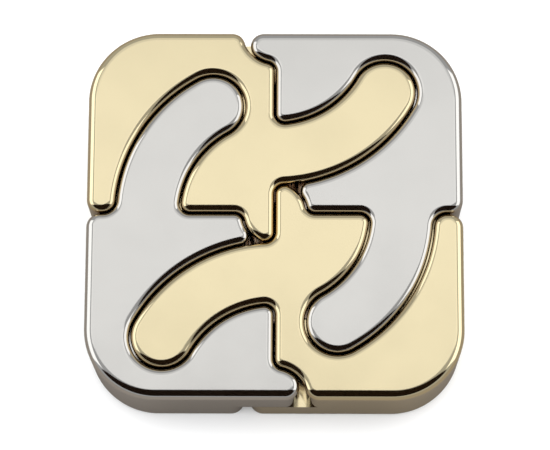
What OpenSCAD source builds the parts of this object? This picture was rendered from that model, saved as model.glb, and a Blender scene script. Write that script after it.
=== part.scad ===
// Four-piece interlocking square puzzle in cast metal.
//
// The closed square lies flat on Z = 0 with its centre on the Z axis. It has two layers, and each
// of its four castings has an arm, a hub and a pocket in both of them. The lower layer is the
// upper one turned over about the Y axis, so all four castings are the same shape.
//
// Every wall that slides is an arc about one of three pivot centres: the centre of the square and
// the middles of its +Y and -Y sides. They are the joints of four equal links that lie folded on
// each other, so the four castings open together as a rhombus does.

/* [Square] */
// Length of a side of the closed square, across its outer walls
side = 53; // [50:0.5:64]
// Height of the square, both layers together
height = 14; // [9:0.5:20]
// Radius of the square's four corners, seen from above
corner_r = 10; // [6:0.5:13]

/* [Joint] */
// Radius of the hub about each pivot centre
hub_r = 4.5; // [4:0.1:5.2]
// Width of an arm, which is also the diameter of its round lobe
arm_w = 9; // [7:0.1:9.6]
// Width of what is left between an arm's outer wall and the side of the square
tip_w = 4.1; // [4:0.1:4.8]
// Angle that an arm reaches round its pivot centre, up to the tip of its lobe
arm_reach = 75; // [60:1:78]

/* [Fit] */
// Gap between two walls that slide on each other
wall_gap = 0.2; // [0.1:0.05:0.4]
// Gap between the two layers, where one casting runs over another
layer_gap = 0.1; // [0.05:0.05:0.2]

/* [Rounding] */
// Rounding of the corners inside the square, where one casting fits another
inside_round = 1.4; // [0.8:0.1:1.6]
// Rounding of the corners where a joint comes out at the side of the square
mouth_round = 1.9; // [1.2:0.1:1.9]

/* [Hidden] */

flatness = 0.01;                    // how far a flat facet may fall short of its arc
link = side / 2;                    // distance between neighbouring pivot centres
gap = wall_gap / 2;                 // one wall's share of the gap
outer_r = link - tip_w;             // outer wall of an arm
inner_r = outer_r - arm_w;          // inner wall of an arm
arm_mid_r = (outer_r + inner_r) / 2;
lobe_r = arm_w / 2;
lobe_angle = arm_reach - asin(lobe_r / arm_mid_r);
layer_h = (height - layer_gap) / 2;

// ---- Arcs ----------------------------------------------------------------------------------
// An outline is a chain of arcs that touch each other or the straight walls between them. Each
// arc is a list of its centre, its radius and the angles where it starts and ends.

// Direction from one point to another
function heading(a, b) = atan2(b[1] - a[1], b[0] - a[0]);

// Distance from a pivot to the foot of a circle that touches the wall through that pivot
function along(reach, r) = sqrt(reach * reach - r * r);

// Points along one arc, close enough together to keep within the flatness
function arc_points(a) =
    let (r = a[1], sweep = a[3] - a[2],
         steps = max(2, ceil(abs(sweep) / (2 * acos(1 - flatness / r)))))
    [for (i = [0:steps])
        let (t = a[2] + sweep * i / steps)
        a[0] + r * [cos(t), sin(t)]];

module outline(arcs) { polygon([for (a = arcs) each arc_points(a)]); }

// ---- Centres -------------------------------------------------------------------------------
// They are worked out for a joint whose pivot is at the origin, with its closed face running
// away from it along -y, its arm swinging round through +x and its hub belonging to that side.

middle = [0, 0];
back = [0, link];
front = [0, -link];

function swapped(p) = [p[1], p[0]];

lobe_at = arm_mid_r * [sin(lobe_angle), -cos(lobe_angle)];
// Corner of the arm's casting between the hub and the closed face
hub_corner = [-inside_round, -along(hub_r + inside_round, inside_round)];
// Corner of the hub's casting between the closed face and the arm's inner wall
wedge_corner = [inside_round, -along(inner_r - inside_round, inside_round)];
// Corner between the arm's outer wall and the line that the closed face is on
function root_corner(r) = [r, -along(outer_r + r, r)];

back_lobe = back + lobe_at;
back_hub = back + hub_corner;
back_wedge = back + wedge_corner;
back_root = back + root_corner(inside_round);

left_lobe = swapped(lobe_at);
left_hub = swapped(hub_corner);
left_wedge = swapped(wedge_corner);
left_root = swapped(root_corner(mouth_round));

// ---- Outlines of the upper layer -----------------------------------------------------------

corner_at = link - corner_r;

// Left back quarter: its arm reaches into the right back quarter, its pocket holds the arm of the
// left front one, and its hub is at the centre of the square
module gold_outline()
{
    mouth = back + [-along(hub_r + gap + mouth_round, mouth_round), -mouth_round];
    spike = -back_root;
    // Where the hub meets the wall of the front joint
    kink_y = (pow(outer_r + gap, 2) - pow(hub_r - gap, 2) - link * link) / (2 * link);
    kink = [-along(hub_r - gap, kink_y), kink_y];
    outline([
        // Outside of the square, from the back side round to the tip at the left side
        [[-corner_at, corner_at], corner_r, 90, 180],
        [[mouth_round - link, mouth_round + gap], mouth_round, 180, 270],
        [left_root, mouth_round - gap, 270, 360 + heading(left_root, middle)],
        // Pocket
        [middle, outer_r + gap, heading(middle, left_root), heading(middle, left_lobe)],
        [left_lobe, lobe_r + gap, heading(middle, left_lobe), heading(left_lobe, middle)],
        [middle, inner_r - gap, heading(middle, left_lobe), heading(middle, left_wedge)],
        [left_wedge, inside_round - gap, heading(middle, left_wedge), 270],
        // Hub
        [left_hub, inside_round + gap, 90, heading(left_hub, middle)],
        [middle, hub_r - gap, 360 + heading(middle, left_hub), 360 + heading(middle, kink)],
        [front, outer_r + gap, heading(front, kink), heading(front, spike)],
        [spike, inside_round - gap, heading(spike, front), 0],
        // Arm
        [back_root, inside_round + gap, 180, heading(back_root, back)],
        [back, outer_r - gap, heading(back, back_root), heading(back, back_lobe)],
        [back_lobe, lobe_r - gap, heading(back, back_lobe), heading(back_lobe, back)],
        [back, inner_r + gap, heading(back, back_lobe), heading(back, back_wedge)],
        [back_wedge, inside_round + gap, heading(back, back_wedge), -180],
        // Bearing on the hub of the right back quarter
        [back_hub, inside_round - gap, 0, heading(back_hub, back)],
        [back, hub_r + gap, 360 + heading(back, back_hub), 360 + heading(back, mouth)],
        [mouth, mouth_round, heading(mouth, back), 90]
    ]);
}

// Right back quarter: its arm reaches into the right front quarter, its pocket holds the arm of
// the left back one, and its hub is at the middle of the back side
module silver_outline()
{
    mouth = back + [-along(hub_r - gap - mouth_round, mouth_round), -mouth_round];
    // Hook that ends between the pocket and the hub of the right front quarter
    hook_reach = outer_r + inside_round;
    hook_next = hub_r + inside_round;
    hook_y = (hook_next * hook_next - hook_reach * hook_reach + link * link) / (2 * link);
    hook = [along(hook_next, hook_y), hook_y];
    right_hub = -left_hub;
    right_wedge = -left_wedge;
    right_lobe = -left_lobe;
    right_root = -left_root;
    outline([
        // Outside of the square, from the right side round to the back side
        [[corner_at, corner_at], corner_r, 0, 90],
        [mouth, mouth_round, 90, 360 + heading(back, mouth)],
        // Hub
        [back, hub_r - gap, heading(back, mouth), heading(back, back_hub)],
        [back_hub, inside_round + gap, heading(back_hub, back), 0],
        // Pocket
        [back_wedge, inside_round - gap, 180, 360 + heading(back, back_wedge)],
        [back, inner_r - gap, heading(back, back_wedge), heading(back, back_lobe)],
        [back_lobe, lobe_r + gap, heading(back_lobe, back), heading(back, back_lobe)],
        [back, outer_r + gap, heading(back, back_lobe), heading(back, hook)],
        [hook, inside_round - gap, heading(hook, back), 360 + heading(hook, middle)],
        // Bearing on the hub of the right front quarter
        [middle, hub_r + gap, heading(middle, hook), heading(middle, right_hub)],
        [right_hub, inside_round - gap, 360 + heading(right_hub, middle), 270],
        // Arm
        [right_wedge, inside_round + gap, 90, heading(middle, right_wedge)],
        [middle, inner_r + gap, heading(middle, right_wedge), heading(middle, right_lobe)],
        [right_lobe, lobe_r - gap, heading(right_lobe, middle), 360 + heading(middle, right_lobe)],
        [middle, outer_r - gap, heading(middle, right_lobe), heading(middle, right_root)],
        [right_root, mouth_round + gap, heading(right_root, middle), 90],
        [[link - mouth_round, mouth_round + gap], mouth_round, 270, 360]
    ]);
}

// ---- Castings ------------------------------------------------------------------------------

// A casting: the first child is the outline of its upper layer, and the second is that of its
// lower layer, already turned over
module casting()
{
    union()
    {
        translate([0, 0, height - layer_h]) linear_extrude(layer_h) children(0);
        linear_extrude(layer_h) children(1);
        translate([0, 0, layer_h]) linear_extrude(layer_gap) intersection()
        {
            children(0);
            children(1);
        }
    }
}

module left_back_casting()
{
    casting()
    {
        gold_outline();
        mirror([1, 0]) silver_outline();
    }
}

module right_back_casting()
{
    casting()
    {
        silver_outline();
        mirror([1, 0]) gold_outline();
    }
}

module gold_piece_left_back() { color("khaki") left_back_casting(); }
module silver_piece_right_back() { color("silver") right_back_casting(); }
module gold_piece_right_front() { color("khaki") rotate(180) left_back_casting(); }
module silver_piece_left_front() { color("silver") rotate(180) right_back_casting(); }

gold_piece_left_back();
silver_piece_right_back();
gold_piece_right_front();
silver_piece_left_front();
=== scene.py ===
# %% [markdown]
# # An interlocking metal puzzle
# The object is a flat square of four castings that hook into each other like the pieces of a
# jigsaw. Two are plated in a pale gold colour and two in silver. Every wall between them is an
# arc about one of three pivot centres, so the castings can only swing open all together.
#
# The size, the place and the movement of the four castings come from an engineering model that
# is already made. This script builds the visible surfaces round that frame. All lengths are in
# metres, Z is up, and the square lies on Z = 0 with its centre on the Z axis.

# %% Load the frame
import cmath
import math

import bpy
from mathutils import Matrix, Vector


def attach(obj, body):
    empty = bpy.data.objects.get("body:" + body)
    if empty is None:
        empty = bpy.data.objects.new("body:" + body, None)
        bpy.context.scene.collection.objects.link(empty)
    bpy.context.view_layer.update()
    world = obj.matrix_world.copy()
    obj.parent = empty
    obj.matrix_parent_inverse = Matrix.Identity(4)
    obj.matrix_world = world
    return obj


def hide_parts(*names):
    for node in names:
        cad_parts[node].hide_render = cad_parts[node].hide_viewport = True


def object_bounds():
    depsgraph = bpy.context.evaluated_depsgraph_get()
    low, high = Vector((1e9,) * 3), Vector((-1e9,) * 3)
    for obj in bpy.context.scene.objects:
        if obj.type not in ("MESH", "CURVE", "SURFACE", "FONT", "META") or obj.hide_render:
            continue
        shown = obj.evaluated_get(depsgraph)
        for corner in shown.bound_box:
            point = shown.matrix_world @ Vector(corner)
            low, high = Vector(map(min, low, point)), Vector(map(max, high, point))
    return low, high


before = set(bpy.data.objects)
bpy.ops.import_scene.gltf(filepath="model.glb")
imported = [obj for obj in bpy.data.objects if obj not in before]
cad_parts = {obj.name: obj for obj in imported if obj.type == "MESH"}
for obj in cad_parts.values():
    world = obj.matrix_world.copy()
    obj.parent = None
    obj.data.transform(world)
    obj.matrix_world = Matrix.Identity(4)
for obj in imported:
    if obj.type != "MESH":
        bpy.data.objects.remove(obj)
cad_low, cad_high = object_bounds()
SIDE = cad_high.x - cad_low.x
HEIGHT = cad_high.z - cad_low.z
print(f"square of {SIDE * 1000:.1f} mm, {HEIGHT * 1000:.1f} mm high")
print("castings:", ", ".join(sorted(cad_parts)))

# %% [markdown]
# ## The rule of the shape
# On the real puzzle one casting's arm slides in its neighbour's pocket, so both walls have to be
# arcs about the same centre. The centres are the middle of the square and the middles of its
# back and front sides. An outline is then a chain of arcs that touch each other, with straight
# walls between some of them, and drawing it by hand would only lose that exactness.
#
# Complex numbers make plane geometry short: a point is `x + y*1j`, the direction from `a` to `b`
# is the phase of `b - a`, and `cmath.rect(r, t)` is the point at distance `r` in direction `t`.

# %% Sizes of the joint
MM = 0.001
LINK = SIDE / 2                     # distance between neighbouring pivot centres
CORNER_R = 10 * MM                  # the square's corners, seen from above
HUB_R = 4.5 * MM                    # hub about a pivot centre
ARM_W = 9 * MM                      # width of an arm
TIP_W = 4.1 * MM                    # from an arm's outer wall to the side of the square
ARM_REACH = math.radians(75)        # angle that an arm reaches round its pivot
GAP = 0.1 * MM                      # one wall's share of the gap between two castings
LAYER_GAP = 0.1 * MM                # between the upper and the lower layer
INSIDE_ROUND = 1.4 * MM             # corners inside the square
MOUTH_ROUND = 1.9 * MM              # corners where a joint comes out at a side

OUTER_R = LINK - TIP_W
INNER_R = OUTER_R - ARM_W
ARM_MID_R = (OUTER_R + INNER_R) / 2
LOBE_R = ARM_W / 2
LOBE_ANGLE = ARM_REACH - math.asin(LOBE_R / ARM_MID_R)

# Rounding of the edges between the flat faces and the walls
OUTER_ROUNDING = 1.3 * MM
GROOVE_ROUNDING = 1.05 * MM
print(f"arm between {INNER_R / MM:.1f} and {OUTER_R / MM:.1f} mm from its pivot")


# %% Helpers for plane geometry
def heading(a, b):
    """Direction from one point to another, in radians."""
    return cmath.phase(b - a)


def foot(reach, r):
    """Distance from a pivot to the foot of a circle that touches the wall through that pivot."""
    return math.sqrt(reach * reach - r * r)


def swapped(p):
    """The point with its two coordinates changed over."""
    return complex(p.imag, p.real)


# %% Centres of the arcs
QUARTER, TURN = math.pi / 2, math.tau

middle, back, front = 0j, complex(0, LINK), complex(0, -LINK)

# The corners of a joint whose pivot is at the origin
lobe_at = ARM_MID_R * complex(math.sin(LOBE_ANGLE), -math.cos(LOBE_ANGLE))
hub_corner = complex(-INSIDE_ROUND, -foot(HUB_R + INSIDE_ROUND, INSIDE_ROUND))
wedge_corner = complex(INSIDE_ROUND, -foot(INNER_R - INSIDE_ROUND, INSIDE_ROUND))


def root_corner(r):
    return complex(r, -foot(OUTER_R + r, r))


back_lobe, back_hub = back + lobe_at, back + hub_corner
back_wedge, back_root = back + wedge_corner, back + root_corner(INSIDE_ROUND)
left_lobe, left_hub = swapped(lobe_at), swapped(hub_corner)
left_wedge, left_root = swapped(wedge_corner), swapped(root_corner(MOUTH_ROUND))
corner_at = LINK - CORNER_R

# %% [markdown]
# ## Two outlines
# Each arc is a row: its centre, its radius, the angles where it starts and ends, and how far
# inside the square its two ends count, from 0 on the outside of the square to 1 in the grooves.
# The last two numbers later choose the rounding of the edge, which is larger on the outside.
#
# One casting uses the gold outline for its upper half and the silver one, turned over, for its
# lower half. The next casting does the opposite, so two outlines are enough for all four.


# %% The gold outline
def gold_arcs():
    mouth = back + complex(-foot(HUB_R + GAP + MOUTH_ROUND, MOUTH_ROUND), -MOUTH_ROUND)
    spike = -back_root
    # Where the hub meets the wall of the front joint, on the flat face inside the rounding
    hub, wall = HUB_R - GAP - GROOVE_ROUNDING, OUTER_R + GAP + GROOVE_ROUNDING
    kink_y = (wall * wall - hub * hub - LINK * LINK) / (2 * LINK)
    kink = complex(-foot(hub, kink_y), kink_y)
    return [
        # Outside of the square, then the tip at the left side
        (complex(-corner_at, corner_at), CORNER_R, QUARTER, 2 * QUARTER, 0, 0),
        (complex(MOUTH_ROUND - LINK, MOUTH_ROUND + GAP), MOUTH_ROUND,
         2 * QUARTER, 3 * QUARTER, 0, 1),
        (left_root, MOUTH_ROUND - GAP, 3 * QUARTER, TURN + heading(left_root, middle), 1, 1),
        # Pocket
        (middle, OUTER_R + GAP, heading(middle, left_root), heading(middle, left_lobe), 1, 1),
        (left_lobe, LOBE_R + GAP, heading(middle, left_lobe), heading(left_lobe, middle), 1, 1),
        (middle, INNER_R - GAP, heading(middle, left_lobe), heading(middle, left_wedge), 1, 1),
        (left_wedge, INSIDE_ROUND - GAP, heading(middle, left_wedge), 3 * QUARTER, 1, 1),
        # Hub
        (left_hub, INSIDE_ROUND + GAP, QUARTER, heading(left_hub, middle), 1, 1),
        (middle, HUB_R - GAP, TURN + heading(middle, left_hub), TURN + heading(middle, kink), 1, 1),
        (front, OUTER_R + GAP, heading(front, kink), heading(front, spike), 1, 1),
        (spike, INSIDE_ROUND - GAP, heading(spike, front), 0, 1, 1),
        # Arm
        (back_root, INSIDE_ROUND + GAP, 2 * QUARTER, heading(back_root, back), 1, 1),
        (back, OUTER_R - GAP, heading(back, back_root), heading(back, back_lobe), 1, 1),
        (back_lobe, LOBE_R - GAP, heading(back, back_lobe), heading(back_lobe, back), 1, 1),
        (back, INNER_R + GAP, heading(back, back_lobe), heading(back, back_wedge), 1, 1),
        (back_wedge, INSIDE_ROUND + GAP, heading(back, back_wedge), -2 * QUARTER, 1, 1),
        # Bearing on the neighbour's hub, then the mouth at the back side
        (back_hub, INSIDE_ROUND - GAP, 0, heading(back_hub, back), 1, 1),
        (back, HUB_R + GAP, TURN + heading(back, back_hub), TURN + heading(back, mouth), 1, 1),
        (mouth, MOUTH_ROUND, heading(mouth, back), QUARTER, 1, 0),
    ]


# %% The silver outline
def silver_arcs():
    mouth = back + complex(-foot(HUB_R - GAP - MOUTH_ROUND, MOUTH_ROUND), -MOUTH_ROUND)
    # Hook that ends between the pocket and the neighbour's hub
    reach, near = OUTER_R + INSIDE_ROUND, HUB_R + INSIDE_ROUND
    hook_y = (near * near - reach * reach + LINK * LINK) / (2 * LINK)
    hook = complex(foot(near, hook_y), hook_y)
    right_hub, right_wedge = -left_hub, -left_wedge
    right_lobe, right_root = -left_lobe, -left_root
    return [
        # Outside of the square, then the mouth at the back side
        (complex(corner_at, corner_at), CORNER_R, 0, QUARTER, 0, 0),
        (mouth, MOUTH_ROUND, QUARTER, TURN + heading(back, mouth), 0, 1),
        # Hub
        (back, HUB_R - GAP, heading(back, mouth), heading(back, back_hub), 1, 1),
        (back_hub, INSIDE_ROUND + GAP, heading(back_hub, back), 0, 1, 1),
        # Pocket
        (back_wedge, INSIDE_ROUND - GAP, 2 * QUARTER, TURN + heading(back, back_wedge), 1, 1),
        (back, INNER_R - GAP, heading(back, back_wedge), heading(back, back_lobe), 1, 1),
        (back_lobe, LOBE_R + GAP, heading(back_lobe, back), heading(back, back_lobe), 1, 1),
        (back, OUTER_R + GAP, heading(back, back_lobe), heading(back, hook), 1, 1),
        (hook, INSIDE_ROUND - GAP, heading(hook, back), TURN + heading(hook, middle), 1, 1),
        # Bearing on the neighbour's hub
        (middle, HUB_R + GAP, heading(middle, hook), heading(middle, right_hub), 1, 1),
        (right_hub, INSIDE_ROUND - GAP, TURN + heading(right_hub, middle), 3 * QUARTER, 1, 1),
        # Arm
        (right_wedge, INSIDE_ROUND + GAP, QUARTER, heading(middle, right_wedge), 1, 1),
        (middle, INNER_R + GAP, heading(middle, right_wedge), heading(middle, right_lobe), 1, 1),
        (right_lobe, LOBE_R - GAP, heading(right_lobe, middle),
         TURN + heading(middle, right_lobe), 1, 1),
        (middle, OUTER_R - GAP, heading(middle, right_lobe), heading(middle, right_root), 1, 1),
        (right_root, MOUTH_ROUND + GAP, heading(right_root, middle), QUARTER, 1, 1),
        (complex(LINK - MOUTH_ROUND, MOUTH_ROUND + GAP), MOUTH_ROUND,
         3 * QUARTER, 4 * QUARTER, 1, 0),
    ]


# %% [markdown]
# ## From arcs to points
# The face of a casting is one polygon. Each of its points also carries the direction straight
# out of the wall and how far inside the square it counts, because the node tree needs both to
# round the edge. An arc that runs anticlockwise bulges out of the metal, so its wall faces away
# from its centre, and a clockwise one is a hollow that faces its centre.

# %% Points of an outline
FLATNESS = 0.003 * MM               # how far a facet may fall short of its arc


def outline_points(arcs):
    """Rows of (point on the wall, outward direction, how far inside)."""
    rows = []
    for centre, radius, start, end, inside_0, inside_1 in arcs:
        side = 1 if end > start else -1
        steps = max(3, math.ceil(abs(end - start) / (2 * math.acos(1 - FLATNESS / radius))))
        for i in range(steps + 1):
            share = i / steps
            out = side * cmath.rect(1, start + (end - start) * share)
            inside = inside_0 + (inside_1 - inside_0) * share
            inset = OUTER_ROUNDING + (GROOVE_ROUNDING - OUTER_ROUNDING) * inside
            flat = centre + (side * radius - inset) * out
            if rows and abs(flat + inset * out - rows[-1][0]) < FLATNESS / 10:
                continue
            if rows and abs(flat - rows[-1][3]) < FLATNESS / 10:
                # Two arcs that meet at an angle share one point, in the middle of the corner
                before = rows[-1][1]
                turn = before.real * out.real + before.imag * out.imag
                out = (before + out) / (1 + turn)
                rows.pop()
            rows.append((flat + inset * out, out, inside, flat))
    return [row[:3] for row in rows]


gold_outline = outline_points(gold_arcs())
silver_outline = outline_points(silver_arcs())
for name, rows in (("gold", gold_outline), ("silver", silver_outline)):
    area = sum((rows[i - 1][0].conjugate() * rows[i][0]).imag for i in range(len(rows))) / 2
    print(f"{name} outline: {len(rows)} points round {area / MM**2:.1f} mm2")

# %% The two faces as a mesh


def face_mesh():
    """Both outlines as one mesh of two flat faces, with what the node tree needs to know."""
    rows = gold_outline + silver_outline
    mesh = bpy.data.meshes.new("faces")
    count = len(gold_outline)
    loops = [list(range(count)), list(range(count, len(rows)))]
    mesh.from_pydata([(p.real, p.imag, 0) for p, *_ in rows], [], loops)
    outward = mesh.attributes.new("outward", "FLOAT_VECTOR", "POINT")
    outward.data.foreach_set("vector", [v for _, out, _ in rows for v in (out.real, out.imag, 0)])
    inside = mesh.attributes.new("inside", "FLOAT", "POINT")
    inside.data.foreach_set("value", [deep for *_, deep in rows])
    silver = mesh.attributes.new("silver", "BOOLEAN", "FACE")
    silver.data.foreach_set("value", [False, True])
    return mesh


faces = face_mesh()
print(f"{len(faces.polygons)} flat faces with {len(faces.vertices)} points")

# %% [markdown]
# ## One casting as a node tree
# A casting is two rounded plates of different outline, one over the other, joined where they
# overlap. It could be modelled once and copied, but then a change to the rounding would mean
# modelling it again. Geometry Nodes keep the rule: change a value and all four castings follow.
#
# `Tree` is a small helper that adds a node, sets its inputs and joins its links in one call.


# %% A helper for node trees
class Tree:
    """A node tree under construction."""

    def __init__(self, name, kind, inputs, outputs):
        self.tree = bpy.data.node_groups.new(name, kind)
        for label, socket, value in inputs:
            made = self.tree.interface.new_socket(label, in_out="INPUT", socket_type=socket)
            if value is not None:
                made.default_value = value
        for label, socket in outputs:
            self.tree.interface.new_socket(label, in_out="OUTPUT", socket_type=socket)
        self.inputs = self.node("NodeGroupInput").outputs
        self.outputs = self.node("NodeGroupOutput").inputs

    def link(self, value, socket):
        """Feeds a socket from another one, or sets it to a plain value."""
        if isinstance(value, bpy.types.NodeSocket):
            self.tree.links.new(value, socket)
        else:
            socket.default_value = value

    def node(self, kind, values=(), **settings):
        """Adds a node; values are (input, value) pairs, where a value may be another output."""
        made = self.tree.nodes.new(kind)
        for name, value in settings.items():
            setattr(made, name, value)
        for socket, value in values:
            self.link(value, made.inputs[socket])
        return made

    def maths(self, operation, *values, clamp=False):
        made = self.node("ShaderNodeMath", enumerate(values), operation=operation, use_clamp=clamp)
        return made.outputs[0]

    def vector(self, operation, *values):
        made = self.node("ShaderNodeVectorMath", operation=operation)
        for socket, value in zip(made.inputs if operation != "SCALE" else
                                 [made.inputs[0], made.inputs["Scale"]], values):
            self.link(value, socket)
        return made.outputs[0]

    def upright(self, height):
        """A vector straight up, of that length."""
        return self.node("ShaderNodeCombineXYZ", [("Z", height)]).outputs[0]


print("helper:", Tree.__name__, "-", Tree.__doc__)

# %% [markdown]
# ## Rounded plate
# The real edges are polished round, and the width of that rounding is what draws the black and
# white lines round each face. The tree draws the flat face in by the rounding, then extrudes its
# rim again and again along a quarter circle, down to the wall. A repeat zone does the same step
# for each slice of the quarter circle. A Bevel modifier would do too, but not with two widths
# that flow into each other at the mouths.


# %% Build the plate tree
SLICES = 8                          # steps that round an edge
WELD = 0.001 * MM                   # points closer than this become one


def plate_tree():
    made = Tree("Rounded plate", "GeometryNodeTree",
                [("Outline", "NodeSocketGeometry", None),
                 ("Thickness", "NodeSocketFloat", HEIGHT / 2),
                 ("Outer rounding", "NodeSocketFloat", OUTER_ROUNDING),
                 ("Groove rounding", "NodeSocketFloat", GROOVE_ROUNDING),
                 ("Slices", "NodeSocketInt", SLICES)],
                [("Plate", "NodeSocketGeometry")])
    given = made.inputs
    outward = made.node("GeometryNodeInputNamedAttribute", [("Name", "outward")],
                        data_type="FLOAT_VECTOR").outputs["Attribute"]
    inside = made.node("GeometryNodeInputNamedAttribute", [("Name", "inside")],
                       data_type="FLOAT").outputs["Attribute"]
    more = made.maths("SUBTRACT", given["Groove rounding"], given["Outer rounding"])
    rounding = made.maths("MULTIPLY_ADD", inside, more, given["Outer rounding"])

    def move(geometry, selection, sideways, upwards):
        """Moves points along the outward direction and up, both in shares of the rounding."""
        along = made.vector("SCALE", outward, made.maths("MULTIPLY", rounding, sideways))
        up = made.upright(made.maths("MULTIPLY", rounding, upwards))
        return made.node("GeometryNodeSetPosition",
                         [("Geometry", geometry), ("Selection", selection),
                          ("Offset", made.vector("ADD", along, up))]).outputs[0]

    # One slice of the quarter circle per turn of the repeat zone
    start = made.node("GeometryNodeRepeatInput")
    end = made.node("GeometryNodeRepeatOutput")
    start.pair_with_output(end)
    end.repeat_items.new("BOOLEAN", "Rim")
    made.link(given["Slices"], start.inputs["Iterations"])
    made.link(move(given["Outline"], True, -1.0, 0.0), start.inputs["Geometry"])
    start.inputs["Rim"].default_value = True
    slice_angle = made.maths("DIVIDE", QUARTER, given["Slices"])
    here = made.maths("MULTIPLY", start.outputs["Iteration"], slice_angle)
    there = made.maths("ADD", here, slice_angle)
    sideways = made.maths("SUBTRACT", made.maths("SINE", there), made.maths("SINE", here))
    upwards = made.maths("SUBTRACT", made.maths("COSINE", there), made.maths("COSINE", here))
    rim = made.node("GeometryNodeExtrudeMesh",
                    [("Mesh", start.outputs["Geometry"]), ("Selection", start.outputs["Rim"]),
                     ("Offset Scale", 0.0)], mode="EDGES")
    made.link(move(rim.outputs["Mesh"], rim.outputs["Top"], sideways, upwards),
              end.inputs["Geometry"])
    made.link(rim.outputs["Top"], end.inputs["Rim"])

    # The wall below the rounding, down to the foot of the plate
    wall = made.node("GeometryNodeExtrudeMesh",
                     [("Mesh", end.outputs["Geometry"]), ("Selection", end.outputs["Rim"]),
                      ("Offset Scale", 0.0)], mode="EDGES")
    place = made.node("ShaderNodeSeparateXYZ",
                      [(0, made.node("GeometryNodeInputPosition").outputs[0])]).outputs
    low = made.maths("MULTIPLY", given["Thickness"], -1.0)
    foot_point = made.node("ShaderNodeCombineXYZ", [(0, place[0]), (1, place[1]), (2, low)])
    walls = made.node("GeometryNodeSetPosition",
                      [("Geometry", wall.outputs["Mesh"]), ("Selection", wall.outputs["Top"]),
                       ("Position", foot_point.outputs[0])])
    # The outline itself, lowered and turned face down, closes the plate
    lowered = made.node("GeometryNodeSetPosition", [("Geometry", given["Outline"]),
                                                    ("Offset", made.upright(low))])
    closing = made.node("GeometryNodeFlipFaces", [("Mesh", lowered.outputs[0])])
    both = made.node("GeometryNodeJoinGeometry")
    made.link(closing.outputs[0], both.inputs[0])
    made.link(walls.outputs[0], both.inputs[0])
    plate = made.node("GeometryNodeMergeByDistance",
                      [("Geometry", both.outputs[0]), ("Distance", WELD)])
    made.link(plate.outputs[0], made.outputs[0])
    return made.tree


plate = plate_tree()
print(f"plate tree with {len(plate.nodes)} nodes")

# %% [markdown]
# ## Casting
# The silver outline is turned over about the Y axis to make the lower half. In the thin gap
# between the layers the two halves are joined only where both have metal: that web is the part
# that two deeper copies of the plates have in common. Booleans are the natural tool for "where
# both are" and "where either is", and they leave one closed skin.


# %% Build the casting tree
WEB_REACH = 2.5                     # height of the web from the middle, in layer gaps
LEDGE_ANGLE = math.radians(40)      # a sharper bend than this is a ledge, not a rounding


def casting_tree():
    made = Tree("Casting", "GeometryNodeTree",
                [("Geometry", "NodeSocketGeometry", None),
                 ("Height", "NodeSocketFloat", HEIGHT),
                 ("Layer gap", "NodeSocketFloat", LAYER_GAP),
                 ("Outer rounding", "NodeSocketFloat", OUTER_ROUNDING),
                 ("Groove rounding", "NodeSocketFloat", GROOVE_ROUNDING),
                 ("Slices", "NodeSocketInt", SLICES),
                 ("Turn over", "NodeSocketFloat", 0.0),
                 ("Turn round", "NodeSocketFloat", 0.0),
                 ("Sharp from", "NodeSocketFloat", LEDGE_ANGLE),
                 ("Material", "NodeSocketMaterial", None)],
                [("Geometry", "NodeSocketGeometry")])
    given = made.inputs
    silver = made.node("GeometryNodeInputNamedAttribute", [("Name", "silver")],
                       data_type="BOOLEAN").outputs["Attribute"]
    parts = made.node("GeometryNodeSeparateGeometry",
                      [("Geometry", given["Geometry"]), ("Selection", silver)], domain="FACE")
    half = made.maths("MULTIPLY", given["Height"], 0.5)
    up = made.upright(half)
    thick = made.maths("MULTIPLY_ADD", given["Layer gap"], -0.5, half)
    deep = made.maths("MULTIPLY_ADD", given["Layer gap"], WEB_REACH, half)

    def half_casting(outline, thickness, turn):
        made_plate = made.node("GeometryNodeGroup", node_tree=plate)
        made.link(outline, made_plate.inputs["Outline"])
        made.link(thickness, made_plate.inputs["Thickness"])
        for label in ("Outer rounding", "Groove rounding", "Slices"):
            made.link(given[label], made_plate.inputs[label])
        raised = made.node("GeometryNodeTransform", [("Geometry", made_plate.outputs[0]),
                                                     ("Translation", up)])
        turned = made.node("GeometryNodeTransform", [("Geometry", raised.outputs[0]),
                                                     ("Rotation", (0, turn, 0))])
        return turned.outputs[0]

    def combine(operation, pieces):
        made_node = made.node("GeometryNodeMeshBoolean", operation=operation, solver="MANIFOLD")
        for piece in pieces:
            made.link(piece, made_node.inputs["Mesh 2"])
        return made_node.outputs[0]

    upper, lower = parts.outputs["Inverted"], parts.outputs["Selection"]
    web = combine("INTERSECT", [half_casting(upper, deep, 0), half_casting(lower, deep, math.pi)])
    whole = combine("UNION", [half_casting(upper, thick, 0), half_casting(lower, thick, math.pi),
                              web])
    clean = made.node("GeometryNodeMergeByDistance", [("Geometry", whole),
                                                      ("Distance", 2 * WELD)])
    # Smooth all over, but for the ledges between the layers
    bend = made.node("GeometryNodeInputMeshEdgeAngle").outputs["Unsigned Angle"]
    ledge = made.node("FunctionNodeCompare", [("A", bend), ("B", given["Sharp from"])],
                      data_type="FLOAT", operation="GREATER_THAN")
    smooth = made.node("GeometryNodeSetShadeSmooth", [("Geometry", clean.outputs[0])])
    shaded = made.node("GeometryNodeSetShadeSmooth",
                       [("Geometry", smooth.outputs[0]), ("Selection", ledge.outputs[0]),
                        ("Shade Smooth", False)], domain="EDGE")
    # Turned over and round as asked, and stood on the ground
    turns = made.node("ShaderNodeCombineXYZ", [("Y", given["Turn over"]),
                                               ("Z", given["Turn round"])])
    stood = made.node("GeometryNodeTransform",
                      [("Geometry", shaded.outputs[0]), ("Translation", up),
                       ("Rotation", turns.outputs[0])])
    real = made.node("GeometryNodeRealizeInstances", [("Geometry", stood.outputs[0])])
    painted = made.node("GeometryNodeSetMaterial", [("Geometry", real.outputs[0]),
                                                    ("Material", given["Material"])])
    made.link(painted.outputs[0], made.outputs[0])
    return made.tree


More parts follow.
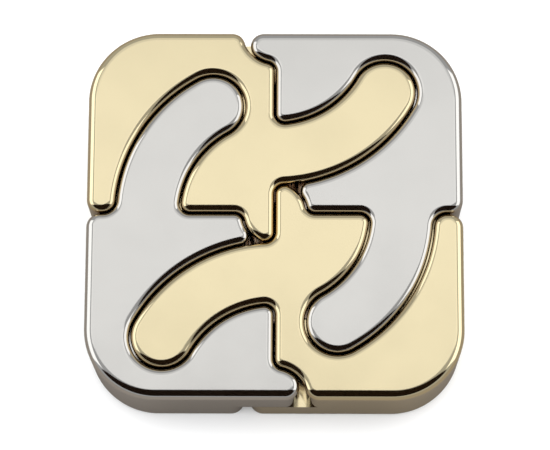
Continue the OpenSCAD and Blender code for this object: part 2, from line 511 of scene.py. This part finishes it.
casting = casting_tree()
print(f"casting tree with {len(casting.nodes)} nodes")

# %% [markdown]
# ## Plating
# Both finishes are thin plating on the same zinc casting. The flat faces are satin, so they
# reflect the light above them as one even tone, and the rounded edges were polished bright.
# What differs between gold and silver is only the colour, so the rest is made as shader node
# groups that both materials share: fine marks from handling, the mask that tells a polished
# edge from a satin face and says where shade is painted in the grooves, and the slight
# unevenness of a cast surface.


# %% Masks of the polished edges and of the painted shade in the grooves
EDGE_WIDTH = 0.02 * MM              # depth at which the polish is full
GROOVE_SHADE_DEPTH = 1.2 * MM              # depth at which the painted shade in the grooves is full


def edge_group():
    """Edge is 0 on the flat faces and 1 below them; Depth, where shade is painted, grows to 1 down
    in the grooves.
    """
    made = Tree("Edge and groove", "ShaderNodeTree",
                [("Height", "NodeSocketFloat", HEIGHT),
                 ("Edge width", "NodeSocketFloat", EDGE_WIDTH),
                 ("Groove depth", "NodeSocketFloat", GROOVE_SHADE_DEPTH)],
                [("Edge", "NodeSocketFloat"), ("Depth", "NodeSocketFloat")])
    given = made.inputs
    where = made.node("ShaderNodeTexCoord").outputs["Object"]
    z = made.node("ShaderNodeSeparateXYZ", [(0, where)]).outputs["Z"]
    half = made.maths("MULTIPLY", given["Height"], 0.5)
    below = made.maths("SUBTRACT", half, made.maths("ABSOLUTE", made.maths("SUBTRACT", z, half)))
    inside = made.node("ShaderNodeAttribute", attribute_name="inside").outputs["Fac"]
    made.link(made.maths("DIVIDE", below, given["Edge width"], clamp=True), made.outputs["Edge"])
    # Painted shade: the deeper below the faces in a groove, the darker the colour
    depth = made.maths("DIVIDE", below, given["Groove depth"], clamp=True)
    made.link(made.maths("MULTIPLY", depth, inside), made.outputs["Depth"])
    return made.tree


edge_and_groove = edge_group()
print("group:", edge_and_groove.name)


# %% Marks from handling, and the unevenness of the casting
HAIRLINE_ANGLES = (0.6, -0.9)       # directions of two families of hairlines, in radians
HAIRLINE_CONTRAST, HAIRLINE_SHIFT = 7.0, -5.1   # leaves only the crests of the noise
SMUDGE_CONTRAST, SMUDGE_SHIFT = 3.0, -1.0
GRAIN_FREQUENCY = 9.0 / MM          # grains in a metre of satin face


def marks_group():
    """Hairlines and smudges as masks, and the height of a slightly uneven surface."""
    made = Tree("Handling marks", "ShaderNodeTree",
                [("Hairline length", "NodeSocketFloat", 6 * MM),
                 ("Hairline width", "NodeSocketFloat", 0.12 * MM),
                 ("Smudge size", "NodeSocketFloat", 9 * MM),
                 ("Unevenness size", "NodeSocketFloat", 5 * MM)],
                [("Hairlines", "NodeSocketFloat"), ("Smudges", "NodeSocketFloat"),
                 ("Unevenness", "NodeSocketFloat"), ("Grain", "NodeSocketFloat")])
    given = made.inputs
    where = made.node("ShaderNodeTexCoord").outputs["Object"]

    def noise(place, scale, detail):
        return made.node("ShaderNodeTexNoise", [("Vector", place), ("Scale", scale),
                                                ("Detail", detail)]).outputs["Fac"]

    def frequency(size):
        return made.maths("DIVIDE", 1.0, size)

    # Two families of hairlines that cross: noise drawn out along one direction
    along, across = frequency(given["Hairline length"]), frequency(given["Hairline width"])
    stretch = made.node("ShaderNodeCombineXYZ", [("X", along), ("Y", across), ("Z", along)])
    lines = []
    for angle in HAIRLINE_ANGLES:
        turned = made.node("ShaderNodeVectorRotate", [("Vector", where), ("Angle", angle)],
                           rotation_type="Z_AXIS")
        drawn = made.vector("MULTIPLY", turned.outputs[0], stretch.outputs[0])
        fine = noise(drawn, 1.0, 2.0)
        lines.append(made.maths("MULTIPLY_ADD", fine, HAIRLINE_CONTRAST, HAIRLINE_SHIFT,
                                clamp=True))
    made.link(made.maths("MAXIMUM", *lines), made.outputs["Hairlines"])
    smudge = noise(where, frequency(given["Smudge size"]), 3.0)
    made.link(made.maths("MULTIPLY_ADD", smudge, SMUDGE_CONTRAST, SMUDGE_SHIFT, clamp=True),
              made.outputs["Smudges"])
    made.link(noise(where, frequency(given["Unevenness size"]), 1.0),
              made.outputs["Unevenness"])
    made.link(noise(where, GRAIN_FREQUENCY, 1.0), made.outputs["Grain"])
    return made.tree


handling_marks = marks_group()
print("group:", handling_marks.name)


# %% [markdown]
# ## The two materials
# The colour of a metal is the colour of its reflection, so there is little paint to speak of: a
# metallic surface with the plating's reflectance does it, with painted shade down in the grooves.
# Roughness decides whether a face looks satin or polished. A bump from the shared groups breaks
# the reflections up a little.

# %% Build a plating material
SATIN, POLISH = 0.16, 0.06          # roughness of the faces and of the edges
SMUDGED, SMUDGED_EDGE = 0.05, 0.03  # what a smudge adds to the roughness of each
SCRATCHED = 0.06                    # what a hairline adds to the roughness of a face
UNEVEN_HEIGHT = 0.006               # relief of the cast surface, in millimetres
HAIRLINE_DEPTH, GRAIN_HEIGHT = 0.0001, 0.0005   # the same for hairlines and satin grain


def plating(name, colour, groove_shade, groove_shade_share):
    """Clean plating of one colour that turns to a painted shade colour, by its share, in the
    grooves.
    """
    material = bpy.data.materials.new(name)
    material.use_nodes = True
    nodes, links = material.node_tree.nodes, material.node_tree.links
    metal = next(n for n in nodes if n.type == "BSDF_PRINCIPLED")
    metal.inputs["Metallic"].default_value = 1.0

    def group(tree):
        made = nodes.new("ShaderNodeGroup")
        made.node_tree = tree
        return made

    def maths(operation, *values, clamp=False):
        made = nodes.new("ShaderNodeMath")
        made.operation, made.use_clamp = operation, clamp
        for socket, value in zip(made.inputs, values):
            if isinstance(value, bpy.types.NodeSocket):
                links.new(value, socket)
            else:
                socket.default_value = value
        return made.outputs[0]

    edges, marks = group(edge_and_groove), group(handling_marks)
    edge, depth = edges.outputs["Edge"], edges.outputs["Depth"]

    # Colour: clean plating, darkened by painted shade down in the grooves
    mix = nodes.new("ShaderNodeMix")
    mix.data_type = "RGBA"
    links.new(maths("MULTIPLY", depth, groove_shade_share), mix.inputs["Factor"])
    mix.inputs["A"].default_value = (*colour, 1)
    mix.inputs["B"].default_value = (*groove_shade, 1)
    links.new(mix.outputs["Result"], metal.inputs["Base Color"])

    # Roughness: satin faces, polished edges, both a little uneven
    worn = maths("MULTIPLY_ADD", marks.outputs["Smudges"], SMUDGED, SATIN)
    worn = maths("MULTIPLY_ADD", marks.outputs["Hairlines"], SCRATCHED, worn)
    polished = maths("MULTIPLY_ADD", marks.outputs["Smudges"], SMUDGED_EDGE, POLISH)
    change = maths("SUBTRACT", polished, worn)
    links.new(maths("MULTIPLY_ADD", edge, change, worn), metal.inputs["Roughness"])

    # Normal: the slow unevenness of the casting, fine hairlines and the grain of the satin
    height = maths("MULTIPLY", marks.outputs["Unevenness"], UNEVEN_HEIGHT)
    height = maths("MULTIPLY_ADD", marks.outputs["Hairlines"], -HAIRLINE_DEPTH, height)
    grain = maths("MULTIPLY", marks.outputs["Grain"], maths("SUBTRACT", 1.0, edge))
    height = maths("MULTIPLY_ADD", grain, GRAIN_HEIGHT, height)
    bump = nodes.new("ShaderNodeBump")
    bump.inputs["Distance"].default_value = MM
    links.new(height, bump.inputs["Height"])
    links.new(bump.outputs["Normal"], metal.inputs["Normal"])
    return material


# The third colour is the painted shade in the grooves, and the last number is its share
gold_plating = plating("gold_plating", (0.95, 0.825, 0.53), (0.28, 0.14, 0.04), 0.85)
silver_plating = plating("silver_plating", (0.76, 0.745, 0.71), (0.26, 0.17, 0.10), 0.75)
print("materials:", gold_plating.name, silver_plating.name)

# %% [markdown]
# ## Four castings from one tree
# All four are the same casting. Turned over about the Y axis it becomes its neighbour, and half
# a turn about Z takes each of the two to the far side. A modifier's inputs are set by their
# identifiers, and the result is then frozen into a plain mesh that rides on its body.

# %% Make the castings
CASTINGS = [
    ("gold_left_back", "gold_piece_left_back", 0.0, 0.0, gold_plating, "gold_plate"),
    ("silver_right_back", "silver_piece_right_back", math.pi, 0.0, silver_plating,
     "silver_plate"),
    ("gold_right_front", "gold_piece_right_front", 0.0, math.pi, gold_plating, "gold_plate"),
    ("silver_left_front", "silver_piece_left_front", math.pi, math.pi, silver_plating,
     "silver_plate"),
]


def frozen(mesh, tree, values, name):
    """The mesh that a tree makes from another one, with its values set by name."""
    maker = bpy.data.objects.new("maker", mesh)
    bpy.context.scene.collection.objects.link(maker)
    modifier = maker.modifiers.new("nodes", "NODES")
    modifier.node_group = tree
    sockets = {s.name: s.identifier for s in tree.interface.items_tree if s.in_out == "INPUT"}
    for label, value in values.items():
        modifier[sockets[label]] = value
    even = maker.modifiers.new("even normals", "WEIGHTED_NORMAL")
    even.keep_sharp = True
    seen = maker.evaluated_get(bpy.context.evaluated_depsgraph_get())
    result = bpy.data.meshes.new_from_object(seen)
    result.name = name
    bpy.data.objects.remove(maker)
    return result


for body, node_name, over, around, finish, slot in CASTINGS:
    mesh = frozen(faces, casting, {"Turn over": over, "Turn round": around, "Material": finish},
                  body + "_casting")
    piece = bpy.data.objects.new(body + "_casting", mesh)
    bpy.context.scene.collection.objects.link(piece)
    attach(piece, body)
    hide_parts(node_name)
    print(f"{piece.name}: {len(mesh.polygons)} faces, {len(mesh.materials)} material")

# %% [markdown]
# ## Studio
# The puzzle lies on a plain pale floor. A metal shows its surroundings more than its own colour,
# so the surroundings are designed: a softbox above gives the even tone of the faces, a white
# card on each side gives the bright lines along the edges, and a dark screen behind the camera
# gives the black lines that set the castings off from each other.

# %% Floor
FLOOR_HALF = 1.5                    # half a side of the floor
FLOOR_COLOUR = (0.88, 0.88, 0.88)
REFLECTED_FLOOR_SHADE = (0.19, 0.17, 0.15)   # painted shade: the floor as the metal sees it


def floor_mesh():
    mesh = bpy.data.meshes.new("floor")
    corners = [(-1, -1), (1, -1), (1, 1), (-1, 1)]
    mesh.from_pydata([(x * FLOOR_HALF, y * FLOOR_HALF, 0) for x, y in corners], [],
                     [(0, 1, 2, 3)])
    return mesh


def floor_material():
    """Pale to the eye. The metal sees it greyer: painted shade on the floor in its reflections."""
    material = bpy.data.materials.new("pale_floor")
    material.use_nodes = True
    nodes, links = material.node_tree.nodes, material.node_tree.links
    surface = next(n for n in nodes if n.type == "BSDF_PRINCIPLED")
    mix = nodes.new("ShaderNodeMix")
    mix.data_type = "RGBA"
    mix.inputs["A"].default_value = (*FLOOR_COLOUR, 1)
    mix.inputs["B"].default_value = (*REFLECTED_FLOOR_SHADE, 1)
    # Painted shade: reflections in the metal get the darker floor colour
    links.new(nodes.new("ShaderNodeLightPath").outputs["Is Glossy Ray"], mix.inputs["Factor"])
    links.new(mix.outputs["Result"], surface.inputs["Base Color"])
    surface.inputs["Roughness"].default_value = 0.9
    surface.inputs["Specular IOR Level"].default_value = 0.0
    return material


floor = bpy.data.objects.new("floor", floor_mesh())
floor.data.materials.append(floor_material())
bpy.context.scene.collection.objects.link(floor)
print(f"floor: {2 * FLOOR_HALF:.1f} m square")

# %% [markdown]
# ## Lights
# Every light is a large soft rectangle. How strong it looks in the metal depends on how bright
# its face is and not on its size, so each is given by its brightness, and its power follows.
# The broad one over the floor isn't seen in the metal: it only makes the floor pale and gives
# the soft shadow.

# %% Lights
# Each row: name, place, point it faces, width, height, brightness, seen in the metal
TOP = (0, 0, HEIGHT)
LIGHTS = [
    ("softbox", (0, 0.19, 0.9), (0, 0.19, 0), 1.0, 0.26, 0.59, True),
    ("ceiling", (0, 0.66, 0.9), (0, 0.66, 0), 1.0, 0.68, 0.32, True),
    ("card_left", (-0.65, 0.12, 0.34), TOP, 0.8, 0.55, 0.95, True),
    ("card_right", (0.65, 0.12, 0.34), TOP, 0.8, 0.55, 0.95, True),
    ("floor_light", (0, 0.1, 1.2), (0, 0, 0), 1.6, 1.6, 3.4, False),
]


def panel(name, place, aim, width, height, brightness, seen_in_metal):
    """A soft rectangular light. Its power follows from how bright its face should be."""
    data = bpy.data.lights.new(name, "AREA")
    data.shape, data.size, data.size_y = "RECTANGLE", width, height
    data.energy = math.pi * width * height * brightness
    made = bpy.data.objects.new(name, data)
    bpy.context.scene.collection.objects.link(made)
    made.location = place
    made.rotation_mode = "QUATERNION"
    made.rotation_quaternion = (Vector(aim) - Vector(place)).to_track_quat("-Z", "Y")
    made.visible_camera = False
    made.visible_glossy = seen_in_metal
    return made


for row in LIGHTS:
    light = panel(*row)
    print(f"{light.name}: {light.data.energy:.2f} W")

# %% [markdown]
# ## Dark screen
# A rounded edge reflects everything from the ceiling down to the floor, and it only draws a
# black line if something dark is among that. A dark screen curves from low in front of the
# puzzle up over the camera. It is hidden from all rays but reflections, so it throws no shadow.

# %% Dark screen
SCREEN_DISTANCE = 0.6
SCREEN_HALF_WIDTH = 62              # degrees to each side of straight ahead
SCREEN_LOWEST, SCREEN_RISE = 11, 12     # degrees up to its lower edge, and more at the wings
SCREEN_TOP = 94                     # degrees, so just past straight above
SCREEN_COLUMN = 4                   # degrees
SCREEN_ROWS = 12
SCREEN_COLOUR = (0.010, 0.006, 0.004)


def screen_material():
    material = bpy.data.materials.new("dark_screen")
    material.use_nodes = True
    surface = next(n for n in material.node_tree.nodes if n.type == "BSDF_PRINCIPLED")
    surface.inputs["Base Color"].default_value = (*SCREEN_COLOUR, 1)
    surface.inputs["Roughness"].default_value = 1.0
    surface.inputs["Specular IOR Level"].default_value = 0.0
    return material


def screen_mesh():
    """Dark cloth on a curved frame, from above the floor up over the camera."""
    mesh = bpy.data.meshes.new("screen")
    columns = range(-SCREEN_HALF_WIDTH, SCREEN_HALF_WIDTH + 1, SCREEN_COLUMN)
    points, quads = [], []
    for column in columns:
        # Its lower edge rises towards the two wings, so that it doesn't darken low views
        lowest = SCREEN_LOWEST + SCREEN_RISE * abs(column / SCREEN_HALF_WIDTH)
        for row in range(SCREEN_ROWS + 1):
            height = math.radians(lowest + (SCREEN_TOP - lowest) * row / SCREEN_ROWS)
            across = math.radians(column)
            points.append((SCREEN_DISTANCE * math.cos(height) * math.sin(across),
                           -SCREEN_DISTANCE * math.cos(height) * math.cos(across),
                           SCREEN_DISTANCE * math.sin(height) + HEIGHT))
    for column in range(len(columns) - 1):
        for row in range(SCREEN_ROWS):
            i = column * (SCREEN_ROWS + 1) + row
            quads.append((i, i + SCREEN_ROWS + 1, i + SCREEN_ROWS + 2, i + 1))
    mesh.from_pydata(points, [], quads)
    return mesh


screen = bpy.data.objects.new("screen", screen_mesh())
screen.data.materials.append(screen_material())
bpy.context.scene.collection.objects.link(screen)
for ray in ("camera", "diffuse", "transmission", "shadow"):
    setattr(screen, "visible_" + ray, False)
print(f"screen: {len(screen.data.polygons)} faces")

# %% [markdown]
# ## Room
# The rest of the room is an even, slightly cool grey. The Standard view transform shows the
# colours as they are, which keeps the pale floor clean.

# %% Room
ROOM_COLOUR, ROOM_STRENGTH = (0.97, 0.98, 1.0), 0.4

world = bpy.data.worlds.new("room")
bpy.context.scene.world = world
world.use_nodes = True
sky = next(n for n in world.node_tree.nodes if n.type == "BACKGROUND")
sky.inputs["Color"].default_value = (*ROOM_COLOUR, 1)
sky.inputs["Strength"].default_value = ROOM_STRENGTH
bpy.context.scene.view_settings.view_transform = "Standard"
print("room:", world.name, "at strength", ROOM_STRENGTH)

# %% [markdown]
# ## Camera
# The camera looks down steeply from the front side, through a long lens, so that the far side
# of the square is hardly smaller than the near one.

# %% Camera
CAMERA_TILT = math.radians(13.457)      # from straight above towards the front
CAMERA_AZIMUTH = math.radians(2.292)    # from the front towards the right
CAMERA_ROLL = math.radians(-2.093)
CAMERA_DISTANCE = 355.7 * MM
CAMERA_TARGET = Vector((0.066 * MM, -1.873 * MM, HEIGHT))
SENSOR_WIDTH, LENS = 36.0, 166.189      # millimetres, as Blender counts them

camera_data = bpy.data.cameras.new("camera")
camera_data.sensor_width, camera_data.lens = SENSOR_WIDTH, LENS
camera_data.clip_start, camera_data.clip_end = 0.01, 10.0
camera = bpy.data.objects.new("camera", camera_data)
bpy.context.scene.collection.objects.link(camera)
away = Vector((math.sin(CAMERA_AZIMUTH) * math.sin(CAMERA_TILT),
               -math.cos(CAMERA_AZIMUTH) * math.sin(CAMERA_TILT), math.cos(CAMERA_TILT)))
level = Vector((math.cos(CAMERA_AZIMUTH), math.sin(CAMERA_AZIMUTH), 0))
upright = away.cross(level)
right = math.cos(CAMERA_ROLL) * level + math.sin(CAMERA_ROLL) * upright
up = math.cos(CAMERA_ROLL) * upright - math.sin(CAMERA_ROLL) * level
camera.matrix_world = Matrix.Translation(CAMERA_TARGET + away * CAMERA_DISTANCE) @ Matrix(
    (right, up, away)).transposed().to_4x4()
bpy.context.scene.camera = camera
print("lens:", round(camera_data.lens, 1), "mm")

# %% [markdown]
